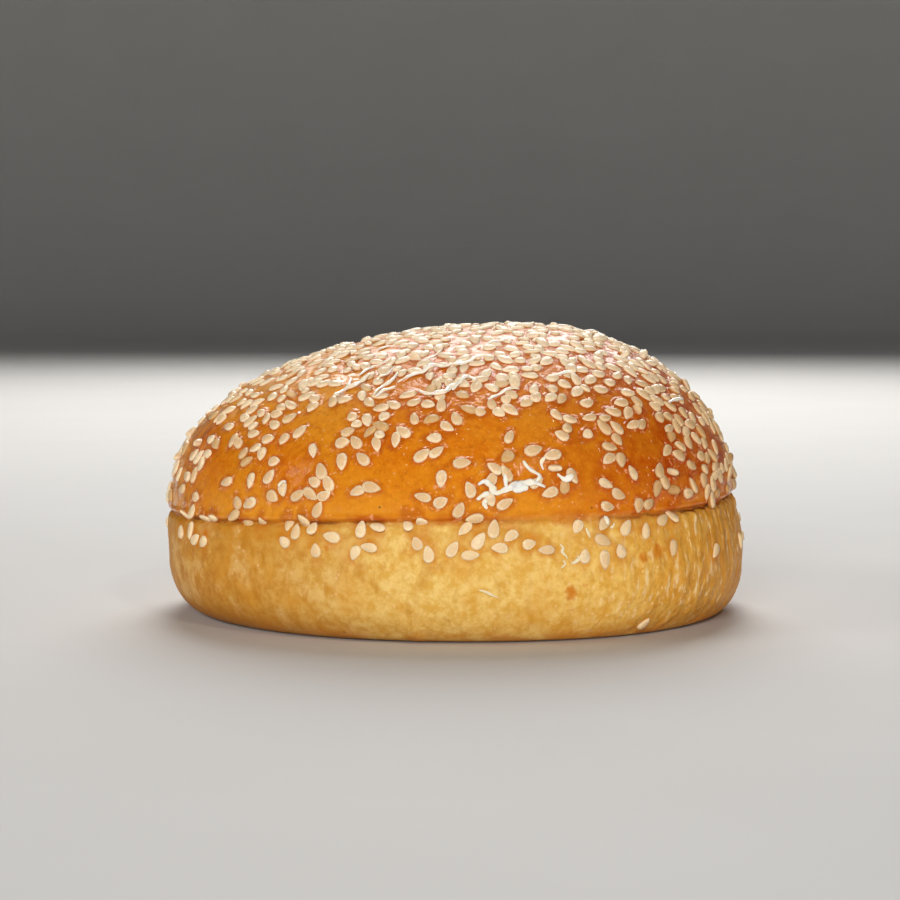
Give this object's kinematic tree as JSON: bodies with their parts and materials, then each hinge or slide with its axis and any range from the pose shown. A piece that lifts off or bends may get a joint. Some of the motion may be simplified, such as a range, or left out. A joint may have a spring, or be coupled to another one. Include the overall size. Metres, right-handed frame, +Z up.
{
  "type": "seeded burger roll",
  "caption": "whole uncut burger roll: squat pale band under a glossy browned dome that leans a little, crease between them, sesame seeds baked on, flat base",
  "frame": {"origin": "on the table, under the middle of the roll's outline", "axes": "+Z up, -Y towards the picture's camera, +X to the right in the picture, the side towards which the peak leans"},
  "size_m": [0.1013, 0.0988, 0.0504],
  "materials": {
    "crust": "egg-glazed browned crust on the cap, pale matte crust on the band",
    "sesame": "hulled sesame seed, satin",
    "glaze": "dried threads of egg glaze, glossy"
  },
  "bodies": {
    "root": {"roll": "crust"}
  },
  "joints": []
}
